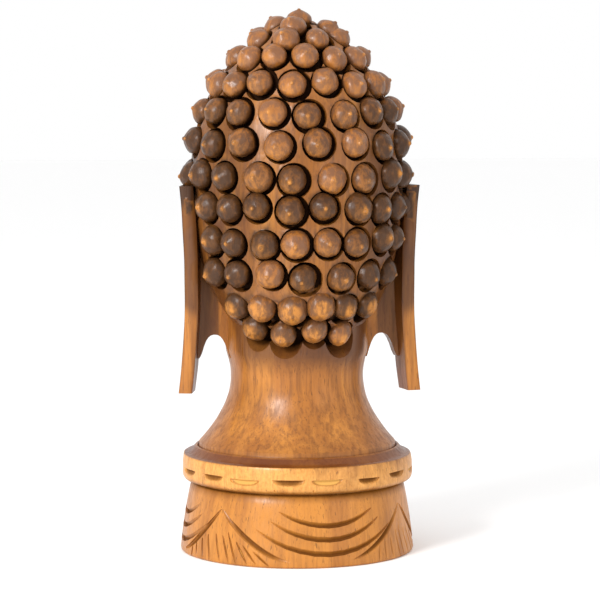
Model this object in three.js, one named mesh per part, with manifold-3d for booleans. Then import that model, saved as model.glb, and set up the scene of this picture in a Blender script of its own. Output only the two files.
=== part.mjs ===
// A wooden Buddha head carved from one block together with its round stand.
// Millimetres, +Z up, the origin at the middle of the flat underside, the face towards -Y.
// The figure's left ear is on the +X side.
import * as THREE from "three";
import { mergeVertices } from "three/addons/utils/BufferGeometryUtils.js";
import Module from "manifold-3d";

// The stand, from the floor up: a flared skirt, a band round its top and a sloping shoulder.
const skirtHeight = 38.4;
const skirtFootRadius = 65.2;
const skirtWaistRadius = 59.5;
const bandHeight = 16.1;
const bandRadius = 64.2;
const shoulderHeight = 4.2;
const shoulderRadius = 56.8;
const footRound = 1.2; // the worn lower edge of the skirt
const bandRound = 2; // the rounded edges of the band
const neckStep = 0.7; // the small step from the shoulder's top in to the neck
// The neck narrows like a trumpet above the shoulder.
const neckHeight = 39.3;
const neckRadius = 37;
// The head, bare of its curls, from the chin's underside to the crown.
const headHeight = 187;
const headWidth = 115;
const headDepthFront = 53.5;
const headDepthBack = 56;
const chinOverlap = 8.5; // how far the chin hangs below the neck's narrowest place
const crownSetBack = 10; // how far the crown lies behind the middle of the head
// The curls.
const curlRadius = 8.8;
const curlHeight = 9;
// The ears, thick plates that stand away from the head behind.
const earLength = 114;
const earWidth = 30;
const earThickness = 7.5;
const earReach = 67.4; // from the middle of the head to the outside of an ear's back edge
const earSplay = 12; // degrees that the back edge stands out
const earBow = 3.4; // how far the plate curves in between its top and bottom
const earTopShare = 0.52; // where an ear's top lies on the head's height
const lobeWidth = 15;
const webTopDepth = 13; // the web between an ear and the head, front to back
const webFootDepth = 5.5;
const webTopBack = 2; // how far behind the head's middle its back lies
const webFootBack = 7;
const lobeGapHeight = 13; // the arched gap between a lobe and the neck
const lobeGapInset = 1.5; // from the neck to the gap's inner foot
const lobeGapRim = 4.5; // from the web's outer edge to the gap's outer foot
const lobeGapRound = 2.5; // how far the arch leans in above its feet
// The carving of the stand.
const swagCount = 4;
const backSwagAngle = 107; // the swag at the back is wider than the others
const swagTurn = 5; // degrees from the back to that swag's middle
const swagLean = 4; // degrees that the folds lie aside of their swag's middle
const peakGap = 0.8; // degrees from a peak between two swags to each edge fold
const gougeWidth = 4;
const gougeDepth = 2;
const gougeLift = 0.3; // keeps a cut open to the outside between its steps

const bandBottom = skirtHeight;
const bandTop = bandBottom + bandHeight;
const shoulderTop = bandTop + shoulderHeight;
const neckWaist = shoulderTop + neckHeight;
const headBottom = neckWaist + chinOverlap;
const headTop = headBottom + headHeight;
const headWidest = headBottom + 0.56 * headHeight;
const radians = THREE.MathUtils.degToRad;

const wasm = await Module();
wasm.setup();

// A closed three.js geometry as a solid that can be cut and joined.
function solidOf(geometry) {
  const bare = geometry.clone();
  bare.deleteAttribute("normal");
  bare.deleteAttribute("uv");
  const merged = mergeVertices(bare, 1e-4);
  return new wasm.Manifold(
    new wasm.Mesh({
      numProp: 3,
      vertProperties: merged.attributes.position.array,
      triVerts: merged.index.array,
    }),
  );
}

// The solid's surface as a three.js geometry.
function geometryOf(solid) {
  const mesh = solid.getMesh();
  const geometry = new THREE.BufferGeometry();
  geometry.setAttribute("position", new THREE.BufferAttribute(mesh.vertProperties, 3));
  geometry.setIndex(new THREE.BufferAttribute(mesh.triVerts, 1));
  geometry.computeVertexNormals();
  return geometry;
}

// Closes up each edge shorter than a limit, which cutting and joining leave behind, wherever
// the surface stays closed and no triangle turns over.
function closeShortEdges(geometry, limit) {
  const points = geometry.attributes.position;
  const corners = geometry.index.array;
  const at = Array.from({ length: points.count }, (_, i) =>
    new THREE.Vector3().fromBufferAttribute(points, i),
  );
  const triangles = [];
  const around = at.map(() => new Set());
  for (let i = 0; i < corners.length; i += 3) {
    const triangle = [corners[i], corners[i + 1], corners[i + 2]];
    triangle.forEach((vertex) => around[vertex].add(triangle));
    triangles.push(triangle);
  }
  const neighbours = (vertex) => new Set([...around[vertex]].flat().filter((v) => v !== vertex));
  const area = (a, b, c) => at[b].clone().sub(at[a]).cross(at[c].clone().sub(at[a]));
  const turnsOver = (gone, kept) =>
    [...around[gone]].some((triangle) => {
      if (triangle.includes(kept)) return false;
      const before = area(...triangle);
      const after = area(...triangle.map((v) => (v === gone ? kept : v)));
      return before.length() > 0.02 && before.normalize().dot(after.normalize()) < 0.5;
    });
  const shortEdges = () => {
    const found = [];
    for (const triangle of triangles) {
      for (let k = 0; k < 3 && around[triangle[0]].has(triangle); k++) {
        const [a, b] = [triangle[k], triangle[(k + 1) % 3]];
        const length = at[a].distanceTo(at[b]);
        if (a < b && length < limit) found.push({ a, b, length });
      }
    }
    return found.sort((one, other) => one.length - other.length);
  };
  for (let found = shortEdges(), closed = 1; closed > 0; found = shortEdges()) {
    closed = 0;
    for (const { a, b } of found) {
      const beside = neighbours(a);
      if (!beside.has(b)) continue;
      if ([...neighbours(b)].filter((v) => beside.has(v)).length !== 2) continue;
      const way = [[b, a], [a, b]].find(([gone, kept]) => !turnsOver(gone, kept));
      if (!way) continue;
      const [gone, kept] = way;
      for (const triangle of around[gone]) {
        if (triangle.includes(kept)) {
          triangle.forEach((v) => v !== gone && around[v].delete(triangle));
        } else {
          triangle[triangle.indexOf(gone)] = kept;
          around[kept].add(triangle);
        }
      }
      around[gone].clear();
      closed += 1;
    }
  }
  const left = triangles.filter((triangle) => around[triangle[0]].has(triangle));
  const tidy = new THREE.BufferGeometry();
  tidy.setAttribute("position", points.clone());
  tidy.setIndex(left.flat());
  return tidy;
}

// Moves every vertex of a geometry to the place that a function gives for it.
function reshape(geometry, place) {
  const points = geometry.attributes.position;
  const uv = geometry.attributes.uv;
  for (let i = 0; i < points.count; i++) {
    const point = new THREE.Vector3().fromBufferAttribute(points, i);
    const moved = place(point, uv ? uv.getX(i) : 0, uv ? uv.getY(i) : 0);
    points.setXYZ(i, moved.x, moved.y, moved.z);
  }
  return geometry;
}

// A steady unevenness of hand work, from -1 to 1, that depends on two whole numbers.
function uneven(a, b) {
  const wave = Math.sin(a * 12.9898 + b * 78.233) * 43758.5453;
  return 2 * (wave - Math.floor(wave)) - 1;
}

// 1 in the middle of a mound and 0 at its edge, for a distance given in radii.
function mound(distance) {
  return distance < 1 ? (1 - distance ** 2) ** 2 : 0;
}

const smooth = THREE.MathUtils.smoothstep;
const lerp = THREE.MathUtils.lerp;

// The bare head

// Half-widths and depths of the head at a height, without the face.
function headSection(z) {
  const above = z > headWidest;
  const reach = above ? headTop - headWidest : headWidest - headBottom;
  const u = Math.min(Math.abs(z - headWidest) / reach, 1);
  const dome = (1 - u ** 2) ** 0.65;
  return {
    side: (headWidth / 2) * (above ? dome : (1 - u ** 2.4) ** 0.5),
    front: headDepthFront * (above ? (1 - u ** 2.2) ** 0.68 : (1 - u ** 5) ** 0.4),
    back: headDepthBack * (above ? (1 - u ** 2.2) ** 0.62 : (1 - u ** 4) ** 0.5),
    centre: above ? crownSetBack * u ** 2 : 0,
  };
}

// A point of the bare head. The bearing is 0 at the face and grows towards +X.
function headPoint(bearing, z) {
  const section = headSection(z);
  const depth = Math.cos(bearing) > 0 ? section.front : section.back;
  return new THREE.Vector3(
    section.side * Math.sin(bearing),
    section.centre - depth * Math.cos(bearing),
    z,
  );
}

// The direction that the bare head faces at a point.
function headNormal(bearing, z) {
  const step = 0.01;
  const rise = 0.4;
  const along = headPoint(bearing + step, z).sub(headPoint(bearing - step, z));
  const top = Math.min(z + rise, headTop);
  const up = headPoint(bearing, top).sub(headPoint(bearing, z - rise));
  return along.cross(up).normalize();
}

// The face: a calm one on the old rule of three equal parts, hairline to brow to nose to chin.
const faceThird = 0.196 * headHeight;
const chinLine = headBottom + 0.03 * headHeight;
const noseLine = chinLine + faceThird;
const browLine = noseLine + faceThird;
const hairLine = browLine + faceThird;
const eyeLine = browLine - 0.36 * faceThird;
const mouthLine = noseLine - 0.37 * faceThird;
const eyeOut = 0.6 * faceThird; // an eye's middle from the face's middle
const faceUnit = faceThird / 36.65; // 1 at the size modelled

// Height of the brow's edge above a place beside the nose.
function browEdge(x) {
  const peak = 24 * faceUnit;
  const fall = Math.abs(x) < peak ? 12 : 9;
  return browLine + 8 * faceUnit - fall * faceUnit * ((Math.abs(x) - peak) / (20 * faceUnit)) ** 2;
}

// How far the face's features stand forward of the bare head.
function faceRelief(xPlace, zPlace) {
  const x = Math.abs(xPlace) / faceUnit;
  const z = (height) => (zPlace - height) / faceUnit;
  let out = 0;
  // Nose, from the bridge to the tip, with its wings.
  const down = THREE.MathUtils.clamp(-z(browLine + 2 * faceUnit) / 36, 0, 1);
  const noseWidth = 4.2 + 4.4 * down ** 2;
  const noseEnd = smooth(z(noseLine), -2.5, 3) * (1 - smooth(z(browLine), -4, 7));
  out += (2 + 12.5 * down ** 1.3) * noseEnd * (1 - smooth(x / noseWidth, 0.3, 1.35));
  out += 5 * mound(Math.hypot((x - 7.6) / 5, (z(noseLine) - 4) / 5.5));
  // Eye hollow under the brow, and the eye's ball in it.
  const underBrow = (browEdge(xPlace) - zPlace) / faceUnit;
  const hollow = smooth(underBrow, 0, 5) * (1 - smooth(underBrow, 14, 30));
  out -= 5.2 * hollow * smooth(x, 2, 11) * (1 - smooth(x, 30, 46));
  const eye = Math.hypot((x - eyeOut / faceUnit) / 14.5, z(eyeLine) / 10);
  out += eye < 1 ? 6 * Math.sqrt(1 - eye ** 2) : 0;
  // Mouth on its own soft mound, then chin, cheeks and the mark on the forehead.
  out += 3.2 * mound(Math.hypot(x / 25, z(mouthLine) / 18));
  out += 3.4 * mound(Math.hypot(x / 17, (z(mouthLine) - 2.9) / 4.4));
  out += 3.8 * mound(Math.hypot(x / 14, (z(mouthLine) + 3.6) / 5.2));
  out -= 1.6 * mound(Math.hypot(x / 12, (z(mouthLine) + 10) / 4));
  out += 7 * mound(Math.hypot(x / 19, (z(chinLine) - 7) / 13));
  out += 2.5 * mound(Math.hypot((x - 27) / 20, (z(noseLine) - 2) / 24));
  out += 2 * mound(Math.hypot(x, z(browLine) - 11) / 4);
  return out * faceUnit;
}

// A ball of rows and columns drawn over the head. They lie closest together on the face.
// Under the curls, whole groups of them fall on one line, so that the mesh is coarse there.
function bareHead() {
  const columns = 56;
  const faceStart = 10; // the face's first column, as far from the last one
  const domeRows = 6; // above the hairline
  const faceRows = 36;
  const group = 6;
  const rows = domeRows + faceRows;
  const bearingOf = (column) => {
    const q = (2 * column) / columns - 1;
    return Math.PI * (0.5 * q + 0.5 * q ** 3);
  };
  const grouped = (number, from) => from + group * Math.round((number - from) / group);
  const geometry = new THREE.SphereGeometry(1, columns, rows);
  reshape(geometry, (point, u, v) => {
    let column = Math.round(u * columns);
    let row = Math.round((1 - v) * rows);
    const onFace = column >= faceStart && column <= columns - faceStart;
    if (row < domeRows && onFace) column = grouped(column, faceStart);
    if (row > domeRows && !onFace) row = grouped(row, domeRows);
    const bearing = bearingOf(column);
    let z = headTop;
    if (row < domeRows) {
      z = hairLine + (headTop - hairLine) * Math.cos((row / domeRows) * (Math.PI / 2));
    } else {
      z = headBottom + (hairLine - headBottom) * (1 - (row - domeRows) / faceRows) ** 1.25;
    }
    const place = headPoint(bearing, z);
    const frontOnly = smooth(Math.cos(bearing), 0.25, 0.55);
    const offPole = smooth(headSection(z).side, 3, 16);
    place.y -= faceRelief(place.x, z) * frontOnly * offPole;
    return place;
  });
  return solidOf(geometry);
}

// The curls

// Rows from the nape to the crown: height as a share of the head's, how many curls a full
// ring would hold, and the bearing of one of them from the back, in degrees towards -X.
const curlRows = [
  { height: 0.107, ring: 14, turn: -18, reach: 50 },
  { height: 0.18, ring: 18, turn: -12, reach: 66 },
  { height: 0.271, ring: 17, turn: -2, reach: 72 },
  { height: 0.367, ring: 20, turn: -8, reach: 76 },
  { height: 0.464, ring: 20, turn: -10, reach: 84 },
  { height: 0.554, ring: 18, turn: -9, reach: 118 },
  { height: 0.646, ring: 17, turn: 4, reach: 180 },
  { height: 0.735, ring: 17, turn: 0, reach: 180 },
  { height: 0.819, ring: 16, turn: -10, reach: 180 },
  { height: 0.891, ring: 13, turn: -1, reach: 180 },
  { height: 0.941, ring: 8, turn: -25, reach: 180 },
  { height: 0.975, ring: 4, turn: -22, reach: 180 },
  { height: 1.0, ring: 1, turn: 0, reach: 180 },
];

// Each curl's foot on the bare head, the way that it points and its size.
function curlPlaces() {
  const places = [];
  curlRows.forEach((row, rowNumber) => {
    for (let k = 0; k < row.ring; k++) {
      const fromBack = ((row.turn + (360 / row.ring) * k + 540) % 360) - 180;
      if (Math.abs(fromBack) > row.reach) continue;
      const wander = uneven(rowNumber, k);
      const bearing = Math.PI + radians(fromBack + 1.6 * wander);
      const z = headBottom + headHeight * (row.height + 0.007 * uneven(k, rowNumber));
      const axis = headNormal(bearing, Math.min(z, headTop - 0.2));
      axis.z *= 0.75;
      places.push({
        foot: headPoint(bearing, z),
        axis: axis.normalize(),
        scale: 0.95 + 0.06 * wander - 0.1 * smooth(row.height, 0.75, 1),
      });
    }
  });
  return places;
}

// One curl, a plump cone that ends in a small nipple.
function curl(place) {
  const sides = 6;
  const sunk = 0.55 * curlHeight;
  const outline = [
    new THREE.Vector2(0, -sunk),
    new THREE.Vector2(1.14 * curlRadius, -sunk),
    new THREE.Vector2(0.8 * curlRadius, 0.58 * curlHeight),
    new THREE.Vector2(0, curlHeight),
  ];
  const geometry = new THREE.LatheGeometry(outline, sides);
  const upright = new THREE.Vector3(0, 1, 0);
  geometry.scale(place.scale, place.scale, place.scale);
  geometry.applyQuaternion(new THREE.Quaternion().setFromUnitVectors(upright, place.axis));
  geometry.translate(place.foot.x, place.foot.y, place.foot.z);
  return solidOf(geometry);
}

// The stand and neck

function standAndNeck() {
  const sides = 40;
  const neckSteps = 5;
  const outline = [
    new THREE.Vector2(0, 0),
    new THREE.Vector2(skirtFootRadius - footRound, 0),
    new THREE.Vector2(skirtFootRadius, footRound),
    new THREE.Vector2(skirtRadius(0.45 * skirtHeight), 0.45 * skirtHeight),
    new THREE.Vector2(skirtWaistRadius, bandBottom),
    new THREE.Vector2(bandRadius - bandRound, bandBottom + bandRound / 2),
    new THREE.Vector2(bandRadius, bandBottom + 0.35 * bandHeight),
    new THREE.Vector2(bandRadius, bandTop - bandRound),
    new THREE.Vector2(bandRadius - bandRound, bandTop),
    new THREE.Vector2(shoulderRadius + neckStep, shoulderTop),
    new THREE.Vector2(shoulderRadius - neckStep, shoulderTop - neckStep),
  ];
  for (let k = 1; k <= neckSteps; k++) {
    const up = k / neckSteps;
    const flare = (shoulderRadius - neckRadius) * (1 - up) ** 2;
    outline.push(new THREE.Vector2(neckRadius + flare, shoulderTop + neckHeight * up));
  }
  const throatTop = headBottom + 0.2 * headHeight; // inside the head
  outline.push(new THREE.Vector2(neckRadius, throatTop), new THREE.Vector2(0, throatTop));
  const geometry = new THREE.LatheGeometry(outline, sides);
  geometry.rotateX(Math.PI / 2);
  return solidOf(geometry);
}

// Radius of the skirt's outside at a height.
function skirtRadius(z) {
  const up = THREE.MathUtils.clamp(z / skirtHeight, 0, 1);
  return skirtFootRadius - (skirtFootRadius - skirtWaistRadius) * up ** 1.3;
}

// A tapered cut along a line of the skirt, as a round gouge leaves it. The line runs from
// share 0 to 1 and is given as a bearing from the back, in degrees, and a height.
function gouge(line) {
  const sides = 3;
  const steps = 5;
  const outline = [];
  for (let k = 0; k <= steps; k++) {
    const share = k / steps;
    const fullness = Math.sin(Math.PI * share) ** 0.6;
    outline.push(new THREE.Vector2(k % steps ? (gougeWidth / 2) * fullness : 0, share));
  }
  const place = (share) => {
    const { bearing, height } = line(share);
    const radius = skirtRadius(height) + 0.5 * gougeWidth - gougeDepth + gougeLift;
    const turn = radians(bearing);
    return new THREE.Vector3(-radius * Math.sin(turn), radius * Math.cos(turn), height);
  };
  const geometry = new THREE.LatheGeometry(outline, sides);
  reshape(geometry, (point) => {
    const step = 0.02;
    const middle = place(point.y);
    const ahead = place(Math.min(point.y + step, 1));
    const along = ahead.sub(place(Math.max(point.y - step, 0))).normalize();
    const outward = new THREE.Vector3(middle.x, middle.y, 0).normalize();
    const across = new THREE.Vector3().crossVectors(outward, along).normalize();
    return middle.addScaledVector(outward, point.x).addScaledVector(across, point.z);
  });
  return solidOf(geometry);
}

// Draped swags round the skirt: three nested folds in each, and an edge fold on either side
// that falls from the peak between two swags.
function swagCuts() {
  const cuts = [];
  const folds = [
    { reach: 0.475, top: 0.79, sag: 0.2 },
    { reach: 0.55, top: 0.655, sag: 0.26 },
    { reach: 0.7, top: 0.545, sag: 0.35 },
  ];
  const peakHeight = 0.77 * skirtHeight;
  const edgeFoot = { reach: 0.3, height: 0.1 * skirtHeight };
  const otherAngle = (360 - backSwagAngle) / (swagCount - 1);
  for (let k = 0; k < swagCount; k++) {
    const half = (k ? otherAngle : backSwagAngle) / 2;
    const middle = swagTurn + (k ? backSwagAngle / 2 + otherAngle * (k - 0.5) : 0);
    for (const fold of folds) {
      cuts.push(
        gouge((share) => ({
          bearing: middle + swagLean + fold.reach * half * (2 * share - 1),
          height: skirtHeight * (fold.top - fold.sag * (1 - (2 * share - 1) ** 2)),
        })),
      );
    }
    for (const side of [-1, 1]) {
      cuts.push(
        gouge((share) => ({
          bearing: middle + side * lerp(half - peakGap, edgeFoot.reach * half, share),
          height: lerp(edgeFoot.height, peakHeight, (1 - share) ** 1.5),
        })),
      );
    }
  }
  return cuts;
}

// The ears

const earTop = headBottom + earTopShare * headHeight;
const earBottom = earTop - earLength;

// A point of an ear plate: forward from its back edge, up from its bottom, in from its
// outside, for the ear on the +X side.
function earPoint(forward, up, inward) {
  const share = up / earLength;
  const bow = earBow * (2 * share - 1) ** 2 * (share < 0.5 ? 1 : 0.8);
  const splay = radians(earSplay);
  const backEdge = 0.5 * earWidth;
  return new THREE.Vector3(
    earReach - earBow + bow - forward * Math.sin(splay) - inward * Math.cos(splay),
    backEdge - forward * Math.cos(splay) + inward * Math.sin(splay),
    earBottom + up,
  );
}

// The plate: a rounded upper ear that narrows to a long lobe, cut off flat below.
function earPlate() {
  const shape = new THREE.Shape();
  shape.moveTo(0, 0);
  shape.lineTo(lobeWidth, 0);
  shape.quadraticCurveTo(1.07 * lobeWidth, 0.3 * earLength, 0.83 * earWidth, 0.5 * earLength);
  shape.quadraticCurveTo(1.03 * earWidth, 0.72 * earLength, earWidth, 0.86 * earLength);
  shape.quadraticCurveTo(0.87 * earWidth, earLength, 0.55 * earWidth, earLength);
  shape.lineTo(0, earLength);
  shape.lineTo(0, 0.66 * earLength);
  shape.lineTo(0, 0.33 * earLength);
  const geometry = new THREE.ExtrudeGeometry(shape, {
    depth: earThickness,
    steps: 1,
    curveSegments: 5,
    bevelEnabled: false,
  });
  reshape(geometry, (point) => earPoint(point.x, point.y, point.z));
  return solidOf(geometry);
}

// The web that joins a plate to the head, arched underneath where the lobe comes free. It
// grows deeper towards the top, and its outer edge runs forward inside the plate.
function earWeb() {
  const shape = new THREE.Shape();
  const inside = 0.6 * (headWidth / 2);
  const outside = earReach - 1.1 * earThickness;
  const webTop = earTop - 0.5 * earThickness;
  const archTop = earBottom + 0.275 * earLength;
  const archFoot = archTop - lobeGapHeight;
  const archInner = neckRadius + lobeGapInset;
  const archOuter = outside - lobeGapRim;
  const archMiddle = (archInner + archOuter) / 2;
  shape.moveTo(inside, webTop);
  shape.lineTo(inside, archFoot);
  shape.lineTo(archInner, archFoot);
  shape.quadraticCurveTo(archInner + lobeGapRound, archTop, archMiddle, archTop);
  shape.quadraticCurveTo(archOuter - lobeGapRound, archTop, archOuter, archFoot);
  shape.lineTo(outside, archFoot);
  shape.lineTo(outside, webTop);
  const geometry = new THREE.ExtrudeGeometry(shape, {
    depth: 1,
    steps: 1,
    curveSegments: 4,
    bevelEnabled: false,
  });
  geometry.rotateX(Math.PI / 2);
  reshape(geometry, (point) => {
    const outwards = (point.x - inside) / (outside - inside);
    const up = (point.z - archFoot) / (webTop - archFoot);
    const forward = -point.y * lerp(webFootDepth, webTopDepth, up);
    const aside = Math.tan(radians(earSplay)) * outwards * forward;
    return new THREE.Vector3(point.x - aside, lerp(webFootBack, webTopBack, up) - forward, point.z);
  });
  return solidOf(geometry);
}

// The same solid on the other side.
function mirrored(solid) {
  return solid.mirror([1, 0, 0]);
}

function carvedHead() {
  let whole = standAndNeck().add(bareHead());
  for (const ear of [earPlate(), earWeb()]) {
    whole = whole.add(ear).add(mirrored(ear));
  }
  for (const place of curlPlaces()) {
    whole = whole.add(curl(place));
  }
  for (const cut of swagCuts()) {
    whole = whole.subtract(cut);
  }
  // Closes the few pockets that would be shut in between neighbouring curls.
  const shells = whole.decompose();
  return shells.reduce((most, shell) => (shell.volume() > most.volume() ? shell : most));
}

const wood = new THREE.MeshStandardMaterial({ color: 0x9a5f2e, roughness: 0.45, metalness: 0 });
const sliverLimit = 1.46;
const surface = closeShortEdges(geometryOf(carvedHead()), sliverLimit);
surface.computeVertexNormals();
const carving = new THREE.Mesh(surface, wood);
carving.name = "carved_buddha_head";

const statue = new THREE.Group();
statue.add(carving);

export default statue;
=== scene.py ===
import math
import random

import bmesh
import bpy
from mathutils import Matrix, Vector, kdtree, noise


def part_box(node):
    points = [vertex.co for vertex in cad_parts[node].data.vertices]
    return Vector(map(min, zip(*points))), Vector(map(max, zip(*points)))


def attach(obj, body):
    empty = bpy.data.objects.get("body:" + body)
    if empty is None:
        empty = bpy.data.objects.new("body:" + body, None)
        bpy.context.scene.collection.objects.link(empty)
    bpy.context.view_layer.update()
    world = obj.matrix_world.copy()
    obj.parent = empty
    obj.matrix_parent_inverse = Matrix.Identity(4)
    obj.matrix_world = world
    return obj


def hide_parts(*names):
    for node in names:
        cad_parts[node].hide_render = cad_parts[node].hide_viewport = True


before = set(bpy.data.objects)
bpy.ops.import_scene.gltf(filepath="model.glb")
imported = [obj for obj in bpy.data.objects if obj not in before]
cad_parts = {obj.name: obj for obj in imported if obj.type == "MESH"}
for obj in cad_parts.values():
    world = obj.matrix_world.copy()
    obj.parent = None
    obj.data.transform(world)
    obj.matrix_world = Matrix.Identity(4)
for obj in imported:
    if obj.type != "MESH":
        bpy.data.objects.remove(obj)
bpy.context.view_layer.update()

# A wooden Buddha head on a round stand, carved from one block. Everything is drawn in
# millimetres round the stand's axis, the face towards -Y, and scaled to the frame at the end.

headNode = "carved_buddha_head"
nodeLow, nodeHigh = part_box(headNode)

drawing = {
    "height": 300.6,  # what the drawing's full height stands for, in mm
    "seed": 11,
    "mergeWithin": 0.002,
    "sharpAngle": 38.0,
}
metresPerMm = (nodeHigh[2] - nodeLow[2]) / drawing["height"]
chance = random.Random(drawing["seed"])

stand = {
    "spinSteps": 120,
    "skirtHeight": 38.4,
    "footRadius": 65.1,
    "waistRadius": 59.5,
    "bandHeight": 16.1,
    "bandRadius": 64.2,
    "shoulderHeight": 4.2,
    "shoulderRadius": 56.8,
    "neckHeight": 39.3,
    "neckRadius": 37.0,
    "napeFlare": 2.2,
    "napeRise": 13.0,
    "napeLimit": 2.6,
    "throatShare": 0.2,  # how far up inside the head the neck goes
    "ringStep": 2.4,
}
bandTop = stand["skirtHeight"] + stand["bandHeight"]
shoulderTop = bandTop + stand["shoulderHeight"]
neckWaist = shoulderTop + stand["neckHeight"]

head = {
    "height": 187.0,
    "width": 115.0,
    "depthFront": 53.5,
    "depthBack": 56.0,
    "chinOverlap": 8.5,
    "crownSetBack": 10.0,
    "ballLevel": 5,
    "finerFronts": ((0.18, 0.2), (0.5, 0.14)),  # each pass: from how far forward, up to what height
    "hairRise": 1.4,  # how far the hair's ground stands proud of the skin
}
headBottom = neckWaist + head["chinOverlap"]
headTop = headBottom + head["height"]
headWidest = headBottom + 0.56 * head["height"]


def smooth(value, low, high):  # 0 below low, 1 above high, a soft step between
    share = min(max((value - low) / (high - low), 0.0), 1.0)
    return share * share * (3 - 2 * share)


def mound(distance):  # 1 in the middle, 0 at a distance of 1
    return (1 - distance ** 2) ** 2 if distance < 1 else 0.0


def ridge(distance, width):  # a narrow rounded line
    return math.exp(-(distance / width) ** 2)


def blend(value, table):  # straight lines between a few (value, result) pairs
    for (lowValue, lowResult), (highValue, highResult) in zip(table, table[1:]):
        if value <= highValue:
            share = max(value - lowValue, 0) / (highValue - lowValue)
            return lowResult + (highResult - lowResult) * share
    return table[-1][1]


def uneven(a, b):  # the steady unevenness of hand work, from -1 to 1
    wave = math.sin(a * 12.9898 + b * 78.233) * 43758.5453
    return 2 * (wave - math.floor(wave)) - 1


# The bare head

def headSection(z):
    above = z > headWidest
    reach = headTop - headWidest if above else headWidest - headBottom
    u = min(abs(z - headWidest) / reach, 1.0)
    return {
        "side": head["width"] / 2 * ((1 - u ** 2) ** 0.65 if above else (1 - u ** 2.4) ** 0.5),
        "front": head["depthFront"] * ((1 - u ** 2.2) ** 0.68 if above else (1 - u ** 5) ** 0.4),
        "back": head["depthBack"] * ((1 - u ** 2.2) ** 0.62 if above else (1 - u ** 4) ** 0.5),
        "centre": head["crownSetBack"] * u ** 2 if above else 0.0,
    }


def headPoint(bearing, z):  # bearing 0 at the face, growing towards +X
    section = headSection(z)
    depth = section["front"] if math.cos(bearing) > 0 else section["back"]
    return Vector((section["side"] * math.sin(bearing), section["centre"] - depth * math.cos(bearing), z))


def headNormal(bearing, z):
    along = headPoint(bearing + 0.01, z) - headPoint(bearing - 0.01, z)
    up = headPoint(bearing, min(z + 0.4, headTop)) - headPoint(bearing, z - 0.4)
    return along.cross(up).normalized()


# The face: calm, with lowered lids, in three equal parts from hairline to chin.
face = {
    "third": 0.196 * head["height"],
    "nose": 11.3,
    "eyeBall": 6.2,
    "browLine": 1.0,
    "lids": 1.0,
    "lips": 1.0,
    "mark": 2.6,
}
third = face["third"]
chinLine = headBottom + 0.03 * head["height"]
noseLine = chinLine + third
browLine = noseLine + third
hairLine = browLine + third
eyeLine = browLine - 0.36 * third
mouthLine = noseLine - 0.37 * third
eyeOut = 0.6 * third


def browEdge(x):
    fall = 12 if abs(x) < 24 else 9
    return browLine + 8 - fall * ((abs(x) - 24) / 20) ** 2


def noseRelief(x, z):
    down = min(max((browLine + 2 - z) / 36, 0.0), 1.0)
    width = 4.2 + 4.2 * down ** 2
    end = smooth(z - noseLine, -1.8, 2.6) * (1 - smooth(z - browLine, -4, 7))
    out = (2 + face["nose"] * down ** 1.3) * end * (1 - smooth(x / width, 0.25, 1.35))
    out += 1.6 * mound(math.hypot(x / 7, (z - noseLine - 5.5) / 6.5))  # tip
    out += 5.2 * mound(math.hypot((x - 7.6) / 4.8, (z - noseLine - 4.2) / 5.4))  # wing
    out -= 0.9 * ridge(math.hypot(x - 11.6, (z - noseLine - 5.5) * 0.6), 1.5)  # crease beside it
    return out - 1.8 * mound(math.hypot((x - 4.4) / 2.6, (z - noseLine - 0.4) / 2.0))  # nostril


def eyeRelief(x, z):
    under = browEdge(x) - z
    hollow = smooth(under, 0, 3.6) * (1 - smooth(under, 14, 30))
    out = -5.4 * hollow * smooth(x, 2, 11) * (1 - smooth(x, 30, 46))
    browLength = smooth(x, 5, 12) * (1 - smooth(x, 36, 46))
    out += face["browLine"] * browLength * ridge(under + 0.8, 1.5)
    across = (x - eyeOut) / 13.5
    ball = math.hypot(across, (z - eyeLine) / 10)
    out += face["eyeBall"] * math.sqrt(1 - ball ** 2) if ball < 1 else 0.0
    if abs(across) < 1.12:
        bow = max(1 - across ** 2, 0.0)
        above = z - (eyeLine - 2.6 - 3.4 * bow)  # height above the slit between the lids
        crease = z - (eyeLine + 1.8 + 6.2 * bow)
        lids = ridge(above - 1.3, 1.2) - 1.7 * ridge(above + 0.35, 0.75)
        lids += 0.8 * ridge(above + 2.2, 1.2) - 0.8 * ridge(crease, 0.8)
        out += face["lids"] * lids * (1 - smooth(abs(across), 0.8, 1.12))
    return out


def mouthRelief(x, z):
    out = 3.2 * mound(math.hypot(x / 25, (z - mouthLine) / 18))  # the swell round the mouth
    share = min(x / 15.5, 1.0)
    parting = mouthLine + 1.6 * share ** 2  # the corners turn up a little
    upper = parting + 5.6 * (1 - share ** 2) ** 0.8 - 1.1 * ridge(x, 2.2)
    lower = parting - 7.4 * (1 - min(x / 13.5, 1.0) ** 2) ** 0.7
    if share < 1 and parting <= z < upper:
        out += face["lips"] * 3.1 * math.sin(0.5 * math.pi * (upper - z) / (upper - parting)) ** 0.8
    elif share < 1 and lower < z < parting:
        fullness = math.sin(math.pi * (0.12 + 0.88 * (z - lower) / (parting - lower)) * 0.93)
        out += face["lips"] * 3.6 * max(fullness, 0.0) ** 0.8 * (1 - share ** 4)
    out -= face["lips"] * 1.9 * ridge(z - parting, 0.7) * (1 - smooth(x, 13, 17.5))
    out -= 1.3 * mound(math.hypot((x - 17) / 3.6, (z - mouthLine - 1.8) / 3.2))  # its corner
    philtrum = smooth(z, mouthLine + 4.5, mouthLine + 6.5) * (1 - smooth(z, noseLine - 3, noseLine))
    out += philtrum * (0.6 * ridge(x - 2.9, 1.1) - 0.7 * ridge(x, 1.5))
    return out - 1.8 * mound(math.hypot(x / 12, (z - mouthLine + 10.5) / 4.2))


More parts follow.
